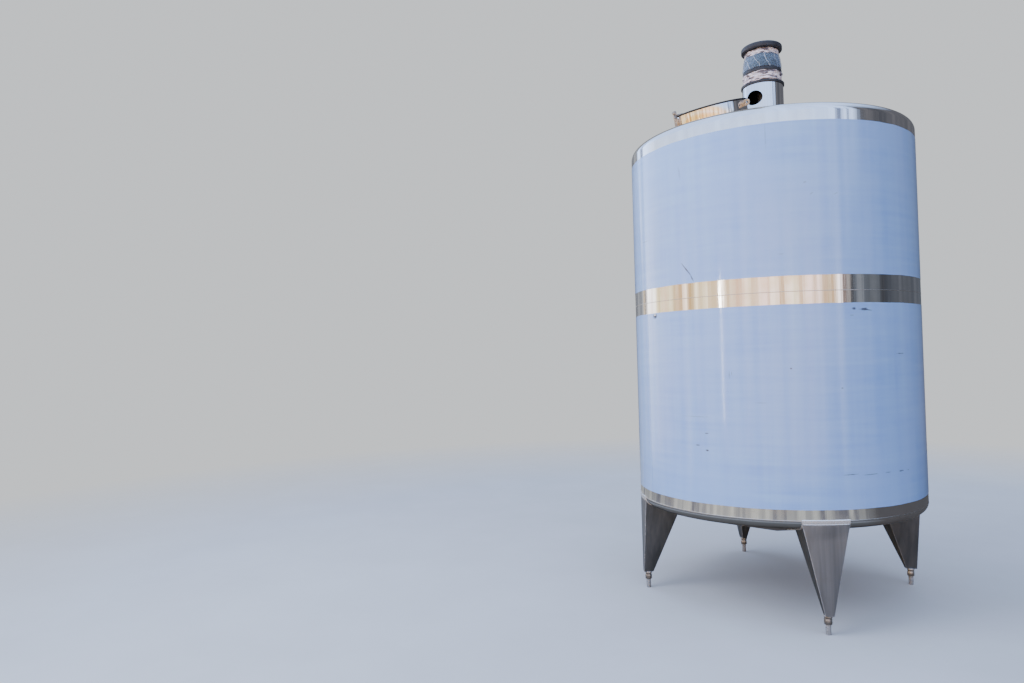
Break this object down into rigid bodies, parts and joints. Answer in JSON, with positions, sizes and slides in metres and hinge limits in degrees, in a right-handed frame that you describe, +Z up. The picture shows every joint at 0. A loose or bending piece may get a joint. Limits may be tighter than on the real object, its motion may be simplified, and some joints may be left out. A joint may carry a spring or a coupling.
{
  "type": "vertical stainless steel storage tank on legs",
  "caption": "Upright steel tank with conical roof and bottom, tapered legs, hinged manway and a wrapped top drive on a round stool; protective film on the wall.",
  "frame": {"origin": "on the tank's vertical axis at ground level, where the four feet stand", "axes": "+Z up along the tank's axis; the legs stand on the diagonals of X and Y; the manway is on the -Y side with its hinge on the outer edge towards -X"},
  "size_m": [1.742, 1.742, 3.544],
  "materials": {
    "polished_steel": "mirror polished stainless steel sheet",
    "brushed_steel": "brushed stainless steel with polished folds",
    "protective_film": "thin pale blue peel-off film, slightly glossy",
    "black_rubber": "matt moulded rubber",
    "wrap_film": "crumpled pinkish white stretch film",
    "motor_paint": "blue grey enamel under clear film",
    "dark_paint": "dark grey enamel"
  },
  "bodies": {
    "tank": {"shell_lower": "polished_steel", "shell_upper": "polished_steel", "film_lower": "protective_film", "film_upper": "protective_film", "roof": "polished_steel", "bottom_head": "polished_steel", "leg_pad_front_right": "brushed_steel", "leg_front_right": "brushed_steel", "foot_cap_front_right": "brushed_steel", "foot_sleeve_front_right": "polished_steel", "foot_post_front_right": "brushed_steel", "leg_pad_back_right": "brushed_steel", "leg_back_right": "brushed_steel", "foot_cap_back_right": "brushed_steel", "foot_sleeve_back_right": "polished_steel", "foot_post_back_right": "brushed_steel", "leg_pad_back_left": "brushed_steel", "leg_back_left": "brushed_steel", "foot_cap_back_left": "brushed_steel", "foot_sleeve_back_left": "polished_steel", "foot_post_back_left": "brushed_steel", "leg_pad_front_left": "brushed_steel", "leg_front_left": "brushed_steel", "foot_cap_front_left": "brushed_steel", "foot_sleeve_front_left": "polished_steel", "foot_post_front_left": "brushed_steel", "manway_neck": "polished_steel", "manway_gasket": "black_rubber", "hinge_lug": "brushed_steel", "hinge_pin": "brushed_steel", "clamp_lug_right": "brushed_steel", "clamp_lug_back": "brushed_steel", "stool": "polished_steel", "stool_flange": "dark_paint", "shaft_seal": "brushed_steel", "drive_shaft": "brushed_steel", "drive_base": "motor_paint", "wrap_lower": "wrap_film", "drive_ring": "dark_paint", "motor_body": "motor_paint", "wrap_upper": "wrap_film", "fan_cowl": "dark_paint"},
    "manway_lid": {"manway_lid": "polished_steel", "lid_hinge_arm": "brushed_steel"}
  },
  "joints": [
    {"name": "manway_lid_hinge", "type": "hinge", "parent": "tank", "child": "manway_lid", "pos_m": [-0.178, -0.75382, 2.99742], "axis": [0.8586, -0.5006, -0.1102], "range_deg": [0, 105]}
  ]
}
